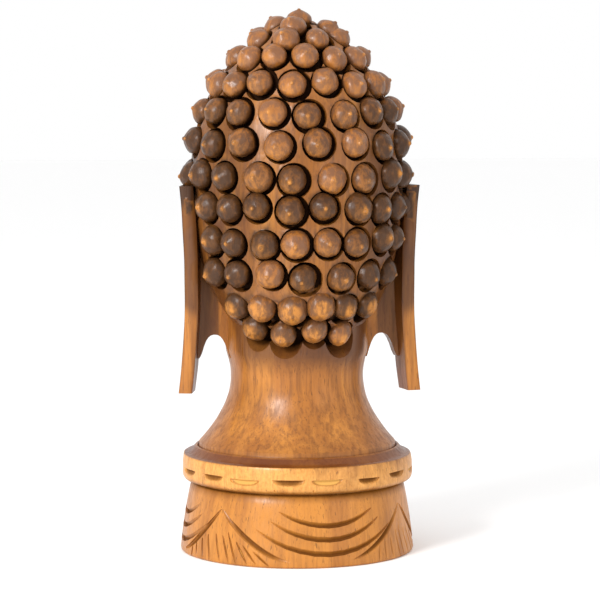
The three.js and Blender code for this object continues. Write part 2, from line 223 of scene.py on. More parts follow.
def faceRelief(xPlace, z):  # how far the features stand forward of the bare head
    x = abs(xPlace)
    out = noseRelief(x, z) + eyeRelief(x, z) + mouthRelief(x, z)
    out += 7 * mound(math.hypot(x / 19, (z - chinLine - 7) / 13))  # chin
    out += 2.8 * mound(math.hypot((x - 27) / 20, (z - noseLine - 2) / 24))  # cheek
    fromMark = math.hypot(x, z - browLine - 11.5) / 4.2
    return out + (face["mark"] * math.sqrt(1 - fromMark ** 2) if fromMark < 1 else 0.0)


# The curls' rows from the nape to the crown: height as a share of the head's, how many a
# full ring holds, the bearing of one of them from the back and how far round the row goes.
curls = {
    "radius": 8.15,
    "height": 9.0,
    "spinSteps": 20,
    "trenchRadius": 9.5,
    "trenchDepth": 3.6,
    "trenchAside": 0.9,
    "trenchBelow": 0.8,
    "trenchClear": 14.0,  # how far the cutter reaches out past the ground
    "size": 0.95,
    "sizeSpread": 0.06,
    "crownShrink": 0.1,
    "wander": 1.6,  # degrees that a curl may stand off its place in the row
    "rise": 0.007,  # the same up or down, as a share of the head's height
    "lean": 0.13,
    "leanAll": (-0.07, -0.06),  # how far all of them lean to one side and down
    "knife": 0.1,
    "napeRows": 2,
    "napeDepth": 5.6,
    "napeBelow": 2.6,
    "rows": [
        (0.107, 14, -18, 50),
        (0.18, 18, -12, 66),
        (0.271, 17, -2, 72),
        (0.367, 20, -8, 76),
        (0.464, 20, -10, 84),
        (0.554, 18, -9, 118),
        (0.646, 17, 4, 180),
        (0.735, 17, 0, 180),
        (0.819, 16, -10, 180),
        (0.891, 13, -1, 180),
        (0.941, 8, -25, 180),
        (0.975, 4, -22, 180),
        (1.0, 1, 0, 180),
    ],
}


def curlPlaces():
    places = []
    for rowNumber, (height, ring, turn, reach) in enumerate(curls["rows"]):
        for k in range(ring):
            fromBack = (turn + 360 / ring * k + 540) % 360 - 180
            if abs(fromBack) > reach:
                continue
            wander = uneven(rowNumber, k)
            bearing = math.pi + math.radians(fromBack + curls["wander"] * wander)
            z = headBottom + head["height"] * (height + curls["rise"] * uneven(k, rowNumber))
            axis = headNormal(bearing, min(z, headTop - 0.2))
            axis.z *= 0.75
            shrink = curls["crownShrink"] * smooth(height, 0.75, 1)
            places.append({
                "foot": headPoint(bearing, z),
                "axis": axis.normalized(),
                "scale": curls["size"] + curls["sizeSpread"] * wander - shrink,
                "row": rowNumber,
                "onNape": rowNumber < curls["napeRows"],
                "number": k,
                "last": k == ring - 1 and ring % 2 == 1,
                "tone": chance.random(),
            })
    return places


allCurls = curlPlaces()
curlTree = kdtree.KDTree(len(allCurls))
for number, place in enumerate(allCurls):
    curlTree.insert(place["foot"], number)
curlTree.balance()


def curlFrame(place):  # stands a shape drawn along Z on the curl's foot
    turn = place["axis"].to_track_quat("Z", "Y").to_matrix().to_4x4()
    return Matrix.Translation(place["foot"]) @ turn


def inCurl(place, point):  # distance from the curl's axis, and height along it
    offset = point - place["foot"]
    height = offset.dot(place["axis"])
    return (offset - place["axis"] * height).length, height


# Making solids

def meshFrom(bm, name):  # and throws the bmesh away
    mesh = bpy.data.meshes.new(name)
    bm.to_mesh(mesh)
    bm.free()
    return mesh


def inScene(name, data):
    made = bpy.data.objects.new(name, data)
    bpy.context.scene.collection.objects.link(made)
    return made


def solidObject(name, bm):  # a closed bmesh as an object, its faces pointing out
    bmesh.ops.remove_doubles(bm, verts=bm.verts, dist=0.0005)
    bmesh.ops.recalc_face_normals(bm, faces=bm.faces)
    return inScene(name, meshFrom(bm, name))


def combine(block, tool, operation):  # joins or cuts, and throws the tool away
    step = block.modifiers.new("cut", "BOOLEAN")
    step.solver = "MANIFOLD"
    step.operation = operation
    step.object = tool
    seen = bpy.context.evaluated_depsgraph_get()
    result = bpy.data.meshes.new_from_object(block.evaluated_get(seen))
    block.modifiers.remove(step)
    used = [block.data, tool.data]
    block.data = result
    bpy.data.objects.remove(tool)
    for mesh in used:
        bpy.data.meshes.remove(mesh)
    print("  ", operation, len(result.polygons), "faces")


def spinProfile(bm, outline, steps):  # a closed turned body from (radius, height) points
    corners = [bm.verts.new((radius, 0, height)) for radius, height in outline]
    edges = [bm.edges.new(pair) for pair in zip(corners, corners[1:])]
    bmesh.ops.spin(
        bm, geom=corners + edges, cent=(0, 0, 0), axis=(0, 0, 1),
        angle=2 * math.pi, steps=steps, use_merge=True,
    )


def addPart(bm, part):  # puts one bmesh into another and throws it away
    carrier = meshFrom(part, "part")
    bm.from_mesh(carrier)
    bpy.data.meshes.remove(carrier)


def arc(centre, radius, start, end, steps):  # points of a round stretch, angles in degrees
    points = []
    for k in range(steps + 1):
        angle = math.radians(start + (end - start) * k / steps)
        points.append((centre[0] + radius * math.cos(angle), centre[1] + radius * math.sin(angle)))
    return points


# The stand and neck

def skirtRadius(z):
    up = min(max(z / stand["skirtHeight"], 0.0), 1.0)
    return stand["footRadius"] - (stand["footRadius"] - stand["waistRadius"]) * up ** 1.3


def neckProfile(z):
    up = min(max((z - shoulderTop) / stand["neckHeight"], 0.0), 1.0)
    flare = (stand["shoulderRadius"] - stand["neckRadius"]) * (1 - up) ** 2
    nape = stand["napeFlare"] * (max(z - neckWaist, 0) / stand["napeRise"]) ** 2
    return stand["neckRadius"] + flare + min(nape, stand["napeLimit"])


def standOutline():
    foot, waist, under = stand["footRadius"], stand["waistRadius"], stand["skirtHeight"]
    outline = [(0, 0), (foot - 1.6, 0)]
    outline += arc((foot - 1.5, 1.5), 1.5, -90, 0, 3)
    outline += [(skirtRadius(z), z) for z in range(4, 37, 3)]
    outline += [(waist, under - 0.6), (waist - 1.2, under + 0.6)]  # the groove under the band
    bulge = stand["bandRadius"]
    outline += [(bulge - 3.6, under + 1.2)]
    outline += arc((bulge - 3.4, under + 4.9), 3.5, -80, -5, 4)
    outline += [(bulge + 0.1, under + 8.5), (bulge, bandTop - 4), (bulge - 0.4, bandTop - 1.4)]
    outline += arc((bulge - 1.5, bandTop - 0.9), 1.0, 0, 80, 2)
    rim = stand["shoulderRadius"]
    for k in range(1, 5):  # the hollow slope from the band up to the shoulder's rim
        share = k / 5
        sag = 0.9 * math.sin(math.pi * share)
        radius = bulge - 1.6 - (bulge - 2.4 - rim) * share
        outline.append((radius, bandTop + (shoulderTop - bandTop - 0.6) * share - sag))
    outline += [(rim + 0.6, shoulderTop - 0.7), (rim + 0.1, shoulderTop - 0.1)]
    outline += [(rim - 0.9, shoulderTop + 0.1), (rim - 1.7, shoulderTop - 0.8)]
    outline += [(rim - 2.2, shoulderTop + 0.6)]
    z = shoulderTop + 2.2
    throat = headBottom + stand["throatShare"] * head["height"]
    while z < throat:
        outline.append((neckProfile(z), z))
        z += stand["ringStep"]
    return outline + [(neckProfile(throat), throat), (0, throat)]


def neckCreases(bearing, z):  # two soft folds across the front of the neck
    front = smooth(math.cos(bearing), -0.1, 0.75)
    low = z - (neckWaist - 16 - 4 * math.cos(bearing))
    high = z - (neckWaist - 3 - 4 * math.cos(bearing))
    return front * (1.1 * ridge(low, 1.5) + 1.1 * ridge(high, 1.5))


def makeStand():
    bm = bmesh.new()
    spinProfile(bm, standOutline(), stand["spinSteps"])
    for v in bm.verts:
        radius = math.hypot(v.co.x, v.co.y)
        if radius < 1 or v.co.z < 0.01:
            continue
        bearing = math.atan2(v.co.x, -v.co.y)
        wobble = 0.5 * noise.noise(v.co * 0.035) + 0.18 * noise.noise(v.co * 0.11)
        change = wobble - neckCreases(bearing, v.co.z)
        v.co.x *= 1 + change / radius
        v.co.y *= 1 + change / radius
    return solidObject("stand", bm)


# The head's ball, fine on the face

def hairReach(z):  # how far round from the back the hair comes, in degrees
    share = (z - headBottom) / head["height"]
    return blend(share, [(0.0, 58), (0.09, 66), (0.185, 80), (0.28, 84), (0.378, 88), (0.478, 96),
                         (0.53, 112), (0.576, 128), (0.615, 150), (0.632, 181), (1.0, 181)])


def headPlace(direction):  # where a point of the unit ball lies on the bare head
    reach = headTop - headWidest if direction.z > 0 else headWidest - headBottom
    return headPoint(math.atan2(direction.x, -direction.y), headWidest + reach * direction.z)


def headSurface(direction):  # the same with the face and the hair's ground
    place = headPlace(direction)
    z = place.z
    bearing = math.atan2(direction.x, -direction.y)
    section = headSection(z)
    skin = smooth(math.cos(bearing), 0.22, 0.5) * smooth(section["side"], 3, 16)
    fromBack = 180 - abs(math.degrees(bearing))
    hair = 1 - smooth(fromBack - hairReach(z), -1.2, 1.2)
    place.y -= faceRelief(place.x, z) * skin * (1 - hair)
    outward = headNormal(bearing, min(max(z, headBottom + 1), headTop - 0.3))
    soft = 0.5 * noise.noise(place * 0.045)
    proud = head["hairRise"] * smooth(z, headBottom + 8, headBottom + 30)
    return place + outward * (proud * hair + soft * hair)


def needsFine(place):  # the places of the face that hold fine lines
    x, z = abs(place.x), place.z
    eyes = 7 < x < 38 and eyeLine - 9 < z < eyeLine + 11
    mouth = x < 20 and mouthLine - 10 < z < mouthLine + 8
    nose = x < 15 and noseLine - 4 < z < noseLine + 12
    brows = x < 46 and abs(z - browEdge(x)) < 3.5
    return place.y < 0 and (eyes or mouth or nose or brows)


def splitEdges(bm, isWanted):  # halves the edges of the ball whose middle is wanted
    edges = []
    for edge in bm.edges:
        if isWanted((edge.verts[0].co + edge.verts[1].co).normalized()):
            edges.append(edge)
    bmesh.ops.subdivide_edges(bm, edges=edges, cuts=1, use_grid_fill=True)
    bmesh.ops.triangulate(bm, faces=[f for f in bm.faces if len(f.verts) > 3])


def makeHead():
    bm = bmesh.new()
    bmesh.ops.create_icosphere(bm, subdivisions=head["ballLevel"], radius=1)
    for leastForward, mostHigh in head["finerFronts"]:

        def isInFront(middle, leastForward=leastForward, mostHigh=mostHigh):
            forward = -middle.y / max(math.hypot(middle.x, middle.y), 1e-6)
            return forward > leastForward and -0.97 < middle.z < mostHigh
        splitEdges(bm, isInFront)
    splitEdges(bm, lambda middle: needsFine(headPlace(middle)))
    for v in bm.verts:
        v.co = headSurface(v.co.normalized())
    return solidObject("head", bm)


# Curls and the trenches round them

def curlOutline(scale):  # as shares of its radius and height: the round body, then the small tip
    radius = curls["radius"] * scale
    high = curls["height"] * scale
    wall = [(0.86, -0.65), (0.94, -0.3), (0.99, 0.0), (1.0, 0.18), (0.96, 0.35), (0.87, 0.5),
            (0.72, 0.64), (0.53, 0.755), (0.35, 0.845), (0.21, 0.895), (0.145, 0.94), (0.12, 0.985),
            (0.07, 1.015)]
    return [(0, -0.65 * high)] + [(radius * r, high * h) for r, h in wall] + [(0, 1.025 * high)]


def makeCurl(bm, place):
    part = bmesh.new()
    spinProfile(part, curlOutline(place["scale"]), curls["spinSteps"])
    bmesh.ops.remove_doubles(part, verts=part.verts, dist=0.001)
    lean = Vector((uneven(place["number"], 3.1 + place["row"]), uneven(2.3, place["number"]), 0))
    lean = lean * curls["lean"] + Vector((*curls["leanAll"], 0))
    for v in part.verts:
        up = max(v.co.z, 0.0)
        v.co += lean * up
        knife = noise.noise(v.co * 0.19 + Vector((place["tone"] * 90, place["row"] * 7, 0)))
        v.co.x *= 1 + curls["knife"] * knife
        v.co.y *= 1 + curls["knife"] * knife
        if place["onNape"]:  # the nape's curls have flat-cut tips
            cut = curls["height"] * (0.86 + 0.08 * uneven(place["number"], 9)) - 0.22 * v.co.y
            v.co.z = min(v.co.z, cut)
    part.transform(curlFrame(place))
    for v in part.verts:  # a curl behind an ear ends inside the ear's plate
        past = ear["curlStop"] - earInward(v.co)
        if past > 0 and v.co.z < earTop - 1 and abs(v.co.y) < ear["width"] / 2:
            v.co.x -= math.copysign(past, v.co.x)
    addPart(bm, part)


def trenchShift(place):  # a trench is wider below its curl and on one side
    aside = Vector((0, 0, 1)).cross(place["axis"]).normalized()
    below = aside.cross(place["axis"]).normalized()
    low = curls["napeBelow"] if place["onNape"] else curls["trenchBelow"]
    return aside * curls["trenchAside"] + below * low


def makeTrench(bm, place):
    wide = curls["trenchRadius"] * (0.97 + 0.05 * uneven(place["number"], 4.4))
    deep = curls["napeDepth"] if place["onNape"] else curls["trenchDepth"]
    clear = curls["trenchClear"]
    outline = [(0, -deep), (0.86 * wide, -deep), (0.94 * wide, -0.8 * deep), (wide, 0.0)]
    outline += [(1.3 * wide, clear), (0, clear)]
    part = bmesh.new()
    spinProfile(part, outline, curls["spinSteps"])
    bmesh.ops.remove_doubles(part, verts=part.verts, dist=0.001)
    part.transform(Matrix.Translation(trenchShift(place)) @ curlFrame(place))
    addPart(bm, part)


def curlGroups():  # neighbours never share a group, so that no two bodies in one overlap
    groups = [[] for _ in range(5)]
    for place in allCurls:
        group = 4 if place["last"] else (place["row"] % 2) * 2 + place["number"] % 2
        groups[group].append(place)
    return [group for group in groups if group]


# Ears

ear = {
    "length": 114.0,
    "width": 30.0,
    "thickness": 7.5,
    "reach": 67.4,
    "splay": 12.0,
    "bow": 3.4,  # how far the plate curves in between its top and bottom
    "topShare": 0.52,
    "grid": (26, 76, 4),
    "hollowDepth": 3.8,
    "foldHeight": 3.2,
    "slotDepth": 2.8,
    "webGrid": (18, 6, 12),
    "webRoot": 0.6,  # how far in the web starts, as a share of half the head's width
    "webDepth": (5.5, 13.0),  # at its foot and its top
    "webBack": (7.0, 2.0),
    "gapTop": 0.275,
    "gapHeight": 13.0,
    "gapInset": 1.5,
    "gapRim": 4.5,
    "curlStop": 5.4,  # how deep in the plate a curl behind it ends
}
earTop = headBottom + ear["topShare"] * head["height"]
earBottom = earTop - ear["length"]


def earOutside(up):  # how far out the back edge's outside stands at a height on the ear
    share = up / ear["length"]
    return ear["reach"] - ear["bow"] + ear["bow"] * (2 * share - 1) ** 2 * (1 if share < 0.5 else 0.8)


def earPoint(forward, up, inward):  # for the ear on the +X side
    splay = math.radians(ear["splay"])
    return Vector((
        earOutside(up) - forward * math.sin(splay) - inward * math.cos(splay),
        0.5 * ear["width"] - forward * math.cos(splay) + inward * math.sin(splay),
        earBottom + up,
    ))


def earInward(point):  # how deep a point lies behind the outside of its ear
    splay = math.radians(ear["splay"])
    out = earOutside(point.z - earBottom) - abs(point.x)
    back = 0.5 * ear["width"] - point.y
    return out * math.cos(splay) - back * math.sin(splay)


def slab(cuts):  # a unit cube with a grid on its sides
    bm = bmesh.new()
    bmesh.ops.create_cube(bm, size=1)
    for axis in range(3):
        edges = []
        for edge in bm.edges:
            along = edge.verts[1].co - edge.verts[0].co
            if abs(along[axis]) > 0.9:
                edges.append(edge)
        bmesh.ops.subdivide_edges(bm, edges=edges, cuts=cuts[axis], use_grid_fill=True)
    return bm


def earFront(share):  # the ear's width at a share of its length, from the lobe up
    return blend(share, [(0.0, 15.0), (0.2, 15.6), (0.35, 17.6), (0.5, 22.0), (0.62, 26.4), (0.75, 29.4),
                         (0.86, 30.0), (0.93, 28.2), (0.98, 24.0), (1.0, 20.0)])


def earRelief(across, up):  # the carving of the ear's outside, across from 0 at the back
    width = earFront(up / ear["length"])
    edge = min(across, width - across, ear["length"] - up)
    hollow = smooth(edge, 2.8, 4.4) * smooth(up, 40, 50)
    fold = mound(math.hypot((across - 0.52 * width) / 5.2, (up - 84) / 22))
    slot = smooth(edge, 4.4, 5.4) * (1 - smooth(up, 38, 42)) * smooth(up, 8, 12)
    return ear["hollowDepth"] * hollow - ear["foldHeight"] * fold * hollow + ear["slotDepth"] * slot


def makeEar():
    bm = slab(ear["grid"])
    for v in bm.verts:
        across, share, inward = v.co.x + 0.5, v.co.y + 0.5, v.co.z + 0.5
        up = share * ear["length"]
        width = earFront(share)
        rounding = 1 - 0.1 * (2 * inward - 1) ** 4 * (abs(2 * across - 1) > 0.999)
        forward = width * (0.5 + (across - 0.5) * rounding)
        depth = ear["thickness"] * inward
        if inward < 0.001:
            depth += earRelief(forward, up)
        v.co = earPoint(forward, up, depth)
        v.co.x += 0.35 * noise.noise(v.co * 0.05)
    return solidObject("ear", bm)


def makeWeb():
    bm = slab(ear["webGrid"])
    archTop = earBottom + ear["gapTop"] * ear["length"]
    archFoot = archTop - ear["gapHeight"]
    inside, outside = ear["webRoot"] * head["width"] / 2, ear["reach"] - 1.1 * ear["thickness"]
    gapInner, gapOuter = stand["neckRadius"] + ear["gapInset"], outside - ear["gapRim"]
    webTop = earTop - 0.5 * ear["thickness"]
    slope = math.tan(math.radians(ear["splay"]))
    footDepth, topDepth = ear["webDepth"]
    footBack, topBack = ear["webBack"]
    for v in bm.verts:
        across, deep, up = v.co.x + 0.5, v.co.y + 0.5, v.co.z + 0.5
        x = inside + (outside - inside) * across
        middle = (2 * x - gapInner - gapOuter) / (gapOuter - gapInner)
        underside = archTop - ear["gapHeight"] * min(abs(middle), 1.0) ** 2.6
        z = underside + (webTop - underside) * up
        rise = (z - archFoot) / (webTop - archFoot)
        depth = footDepth + (topDepth - footDepth) * rise
        hollowed = 0.16 * depth * math.sin(math.pi * across) * math.sin(math.pi * min(up * 1.2, 1.0))
        forward = hollowed + (depth - 2 * hollowed) * (1 - deep)
        back = footBack + (topBack - footBack) * rise
        v.co = Vector((x - slope * across * forward, back - forward, z))
    return solidObject("web", bm)


def mirrored(source, name):  # the same body on the other side
    mesh = source.data.copy()
    mesh.transform(Matrix.Scale(-1, 4, (1, 0, 0)))
    mesh.flip_normals()
    return inScene(name, mesh)


# Gouge cuts in the stand

gouging = {
    "swagCount": 4,
    "backSwag": 107.0,  # degrees that the swag at the back spans, wider than the others
    "swagTurn": 5.0,
    "swagLean": 4.0,
    "peakGap": 0.2,
    "peakHeight": 0.77,
    "folds": (  # how far round each reaches, its ends' height and its sag, as shares
        (0.475, 0.79, 0.2),
        (0.55, 0.655, 0.26),
        (0.7, 0.545, 0.35),
    ),
    "foldWidth": 3.4,
    "foldDepth": 1.5,
    "foldSkew": 0.5,
    "edgeFoot": 0.1,
    "edgeReach": 0.3,
    "edgeSkew": 0.3,
    "fanStrokes": 10,
    "fanPitch": 4.5,
    "fanRoom": 0.88,  # how much closer the strokes stand under the front peaks
    "fanWidth": 1.7,
    "fanDepth": 1.0,
    "dashCount": 17,
    "dashTurn": -12.0,
    "dashTop": 47.9,
    "dashHalf": 7.3,
    "dashWidth": 3.6,
    "dashDepth": 1.6,
    "dashSkew": -0.4,
    "nickWidth": 1.0,
    "nickDepth": 0.9,
}


def bandRadiusAt(_height):  # the band stands upright
    return stand["bandRadius"]


def addCut(bm, line, radiusAt, width, depth, sides=8, skew=0.0, blunt=False):
    # A tapered stroke along line(share), which gives a bearing from the back in degrees
    # and a height. The skew leans its section, so that one wall stands steep. A blunt one
    # is full almost to its ends and keeps its upper edge straight.
    part = bmesh.new()
    bmesh.ops.create_uvsphere(part, u_segments=sides, v_segments=16, radius=1)

    def place(share):
        bearing, z = line(min(max(share, 0.0), 1.0))
        turn = math.radians(bearing)
        radius = radiusAt(z)
        return Vector((-radius * math.sin(turn), radius * math.cos(turn), z))

    for v in part.verts:
        share = 0.5 + 0.5 * v.co.z
        middle = place(share)
        along = (place(share + 0.02) - place(share - 0.02)).normalized()
        outward = Vector((middle.x, middle.y, 0)).normalized()
        across = outward.cross(along).normalized()
        sideways, outwards = v.co.x * width / 2, v.co.y * depth
        ring = math.hypot(v.co.x, v.co.y)
        if blunt and ring > 0.01:
            full = math.sqrt(1 - abs(v.co.z) ** 2.6) / ring
            sideways = width * (0.5 - 0.5 * full * (ring - v.co.x))
            outwards *= full
        elif blunt:
            sideways = width / 2
        v.co = middle + across * (sideways + skew * outwards) + outward * outwards
    bmesh.ops.recalc_face_normals(part, faces=part.faces)
    addPart(bm, part)


def swagPlaces():  # the middle and half the span of each swag, in degrees from the back
    wide = gouging["backSwag"]
    other = (360 - wide) / (gouging["swagCount"] - 1)
    places = [(gouging["swagTurn"], wide / 2)]
    for k in range(1, gouging["swagCount"]):
        places.append((gouging["swagTurn"] + wide / 2 + other * (k - 0.5), other / 2))
    return places


def foldLine(middle, half, fold):
    reach, top, sag = fold

    def line(share):
        swing = 2 * share - 1
        bearing = middle + gouging["swagLean"] + reach * half * swing
        return bearing, stand["skirtHeight"] * (top - sag * (1 - swing ** 2))
    return line


def edgeLine(middle, half, side):
    def line(share):
        start, end = half - gouging["peakGap"], gouging["edgeReach"] * half
        foot = gouging["edgeFoot"]
        rise = foot + (gouging["peakHeight"] - foot) * (1 - share) ** 1.5
        return middle + side * (start * (1 - share) + end * share), stand["skirtHeight"] * rise
    return line


def fanPlaces():  # the strokes under each peak: where one starts, how far it slants, how high
    strokes = []
    for swag, (middle, half) in enumerate(swagPlaces()):
        peak = middle - half
        room = 1.0 if swag < 2 else gouging["fanRoom"]
        for number in range(gouging["fanStrokes"]):
            aside = gouging["fanPitch"] * (number - 4.7) + 0.8 * uneven(number, swag + 0.3)
            strokes.append({
                "start": peak + aside * room,
                "slant": (4.2 + 0.23 * aside) * room,
                "top": 0.45 - 0.0006 * (aside + 1) ** 2 + 0.04 * uneven(swag, number),
                "foot": 0.03 * (1 + uneven(number, 3.7)),
                "raw": uneven(number, swag + 5.1) > 0.15,
            })
    return strokes


def fanLine(stroke):
    def line(share):
        bearing = stroke["start"] + stroke["slant"] * share
        return bearing, stand["skirtHeight"] * (stroke["top"] + (stroke["foot"] - stroke["top"]) * share)
    return line


def skirtCuts():  # in groups, so that no two strokes in one group cross
    groups = [bmesh.new() for _ in range(5)]
    wide, deep, skew = gouging["foldWidth"], gouging["foldDepth"], gouging["foldSkew"]
    for middle, half in swagPlaces():
        for fold in gouging["folds"]:
            addCut(groups[0], foldLine(middle, half, fold), skirtRadius, wide, deep, skew=skew)
        for group, side in ((1, -1), (2, 1)):
            edge = edgeLine(middle, half, side)
            addCut(groups[group], edge, skirtRadius, wide, deep, skew=side * gouging["edgeSkew"])
    narrow, shallow = gouging["fanWidth"], gouging["fanDepth"]
    for number, stroke in enumerate(fanStrokes):
        group = groups[3 + number % 2]
        addCut(group, fanLine(stroke), skirtRadius, narrow, shallow, sides=6, skew=skew)
    return groups


def dashPlaces():
    dashes = []
    for k in range(gouging["dashCount"]):
        dashes.append({
            "middle": gouging["dashTurn"] + 360 / gouging["dashCount"] * k + 1.4 * uneven(k, 6.3),
            "half": gouging["dashHalf"] + 0.8 * uneven(k, 1.7),
            "top": gouging["dashTop"] + 0.4 * uneven(2.9, k),
            "raw": (k % 3 == 1) * 0.75,
            "nick": k % 5 in (0, 1),
        })
    return dashes


fanStrokes = fanPlaces()
bandDashes = dashPlaces()


def bandCuts(bm):
    for dash in bandDashes:
        level = dash["top"] - gouging["dashWidth"] / 2

        def line(share, dash=dash, level=level):
            return dash["middle"] + dash["half"] * (2 * share - 1), level
        wide, deep, skew = gouging["dashWidth"], gouging["dashDepth"], gouging["dashSkew"]
        addCut(bm, line, bandRadiusAt, wide, deep, skew=skew, blunt=True)
        if dash["nick"]:

            def nick(share, dash=dash, level=level):
                return dash["middle"] - 0.9 * dash["half"] + share, level - 3.4 - 2.6 * share
            addCut(bm, nick, bandRadiusAt, gouging["nickWidth"], gouging["nickDepth"], sides=6)


# What the wood's finish follows: how deep each place is and the painted shade in its hollows, where a
# curl is paler and where it takes a painted highlight, and how dark each place is

def rawShare(point):  # 1 on the floors of the cuts that were left unstained
    bearing = math.degrees(math.atan2(-point.x, point.y))

    def apart(other):
        return abs((bearing - other + 180) % 360 - 180)
    if point.z > stand["skirtHeight"]:
        return max(float(dash["raw"]) for dash in bandDashes if apart(dash["middle"]) < 12)
    share = 0.0
    for stroke in fanStrokes:
        top, foot = stroke["top"] * stand["skirtHeight"], stroke["foot"] * stand["skirtHeight"]
        along = (top - point.z) / (top - foot)
        if stroke["raw"] and 0 < along < 1.1 and apart(stroke["start"] + stroke["slant"] * along) < 1.3:
            share = smooth(along, 0.1, 0.5)
    return share


finish = {
    "curlReach": 16.0,  # how far from a curl's foot its finish goes
    "curlEdge": (8.4, 9.0),  # from its axis out, where the curl's own finish ends
    "trenchEdge": (9.6, 12.0),
    "paleSideWay": (0.35, 0.1, -0.9),  # where a curl's paler side faces
    # how much paler that side is
    "paled": 0.7,
    "tip": (7.3, 8.5),  # heights on a curl between which the painted highlight on its tip begins
    "cutTip": (5.9, 6.6),
    # how strong the painted highlight on a curl's tip is
    "tipHighlight": 0.85,
    "darkSides": (17.0, 44.0),  # from the middle of the head out
    # a painted highlight: how much lighter the curls near the crown are
    "crownHighlight": 0.6,
    "seamShade": 0.8,  # how dark the painted shade in the groove under the band is
    "shoulderStain": 14.0,  # how far the shoulder's stain runs up the neck
    # how much of the painted shade on the ears' inner faces the right ear takes
    "rightEarShade": 0.75,
    # painted shade in the carved hollows of the ears
    "earHollowShade": 0.45,
    # how much darker the ground between the curls is towards the sides
    "sideDarkening": 0.95,
    # painted shade on the ground under the nape's curls
    "napeShade": 0.95,
    "hairStain": 0.45,
    "creaseStep": 1.5,
    # how dark the painted shade in the face's creases is
    "crease": 0.6,
}


def isOnEar(point):
    withinPlate = abs(point.y) < 0.52 * ear["width"] and point.z < earTop + 0.2
    return withinPlate and earInward(point) < ear["thickness"] + 0.3


def curlFinish(found, point, outward):
    foot, number, distance = curlTree.find(point)
    place = allCurls[number]
    across, height = inCurl(place, point)
    if distance >= finish["curlReach"] or across >= 1.4 * curls["trenchRadius"]:
        return
    fromTrench = (point - foot - trenchShift(place)).length
    # painted shade: the trench round the curl and the curl's own foot count as hollow, which the wood
    # darkens
    deep = smooth(-height, 0.3, 2.4) * (1 - smooth(fromTrench, *finish["trenchEdge"]))
    onCurl = (1 - smooth(across, *finish["curlEdge"])) * smooth(height, -2.6, -1.6)
    found["curl"] = onCurl
    found["hollow"] = max(deep * (1 - onCurl), 0.8 * onCurl * (1 - smooth(height, -1.0, 2.2)))
    aside = smooth(abs(foot.x), *finish["darkSides"]) * (1 - smooth(point.z, headTop - 75, headTop - 30))
    # the curls near the crown are painted lighter, a painted highlight
    highlitCrown = finish["crownHighlight"] * smooth(point.z, headTop - 85, headTop - 10)
    found["tone"] = 0.04 + 0.76 * place["tone"] - 0.9 * aside + highlitCrown
    # a curl is paler on one side, and its tip takes a painted highlight
    side = outward.dot(Vector(finish["paleSideWay"]))
    paled = finish["paled"] * smooth(side, -0.15, 0.75) * smooth(height, 2, 6)
    paled *= (0.25 + 0.75 * found["tone"]) * (1 - 0.5 * aside)
    tip = smooth(height, *finish["cutTip" if place["onNape"] else "tip"])
    found["worn"] = onCurl * max(paled, finish["tipHighlight"] * tip)


def standFinish(found, point):
    if point.z >= bandTop:
        slope = 1 - smooth(point.z, shoulderTop - 0.6, shoulderTop + 0.6)
        above = 1 - smooth(point.z, shoulderTop, shoulderTop + finish["shoulderStain"])
        found["stainAndShade"] = max(slope, 0.3 * above)
        return
    radius = math.hypot(point.x, point.y)
    if point.z <= 0.5 or radius <= 30:  # the underside
        return
    onSkirt = point.z < stand["skirtHeight"] - 0.5
    surface = skirtRadius(point.z) if onSkirt else bandRadiusAt(point.z)
    fromSeam = abs(point.z - stand["skirtHeight"] - 1)
    # painted shade on the floors of the cuts and in the groove under the band
    deep = smooth(surface - radius, 0.45, 1.4) * (fromSeam > 3)
    found["raw"] = rawShare(point) if deep > 0 else 0.0
    found["hollow"] = max(deep, finish["seamShade"] * (1 - smooth(fromSeam, 0.4, 3.2)))


def earFinish(found, point):
    # painted shade on the back part of the ear's inner face, towards the head, less on the right ear
    inner = smooth(earInward(point), 0.8 * ear["thickness"], ear["thickness"] - 0.4)
    found["stainAndShade"] = inner * smooth(point.y, -3, 3) * (1.0 if point.x > 0 else finish["rightEarShade"])
    # painted shade in the carved hollows of the ear's outside
    if inner < 0.5:
        forward = (0.5 * ear["width"] - point.y) / math.cos(math.radians(ear["splay"]))
        carved = smooth(earRelief(max(forward, 0), point.z - earBottom), 1.2, 3.2)
        found["hollow"] = finish["earHollowShade"] * carved * smooth(forward, 2, 4)


def groundFinish(found, point):  # the ground between the curls, darkest at the sides and, as painted shade under the curls, at the nape
    above = point.z - headBottom
    sides = finish["sideDarkening"] * smooth(abs(point.x), 12, 40) * smooth(above, 8, 20)
    nape = finish["napeShade"] * smooth(above, -8, 7) * (1 - smooth(above, 26, 40))
    rest = finish["hairStain"] * smooth(above, 16, 40)
    fromBack = 180 - abs(math.degrees(math.atan2(point.x, -point.y)))
    hair = 1 - smooth(fromBack - hairReach(point.z), -3, 5)
    found["stainAndShade"] = max(found["stainAndShade"], hair * max(sides, nape, rest))


def faceCreaseShade(found, point):  # painted shade in the creases
    x, z, step = point.x, point.z, finish["creaseStep"]
    around = faceRelief(x + step, z) + faceRelief(x - step, z)
    around += faceRelief(x, z + step) + faceRelief(x, z - step)
    crease = finish["crease"] * smooth(around - 4 * faceRelief(x, z), 0.5, 3.0)
    found["hollow"] = max(found["hollow"], crease)


def finishOf(point, outward):  # what the finish is like at a point of the carving, with its painted shade and highlights
    found = {"hollow": 0.0, "worn": 0.0, "tone": 0.5, "stainAndShade": 0.0, "raw": 0.0, "curl": 0.0}
    if point.z > headBottom + 4 and not isOnEar(point):
        curlFinish(found, point, outward)
    if point.z < shoulderTop + finish["shoulderStain"]:
        standFinish(found, point)
    besideCurls = found["curl"] < 0.5
    if besideCurls and abs(point.x) > 44 and earBottom - 1 < point.z < earTop + 1:
        earFinish(found, point)
    if besideCurls and point.y > -10 and headBottom - 8 < point.z:
        groundFinish(found, point)
    if point.y < -20 and chinLine < point.z < hairLine:
        faceCreaseShade(found, point)
    return found


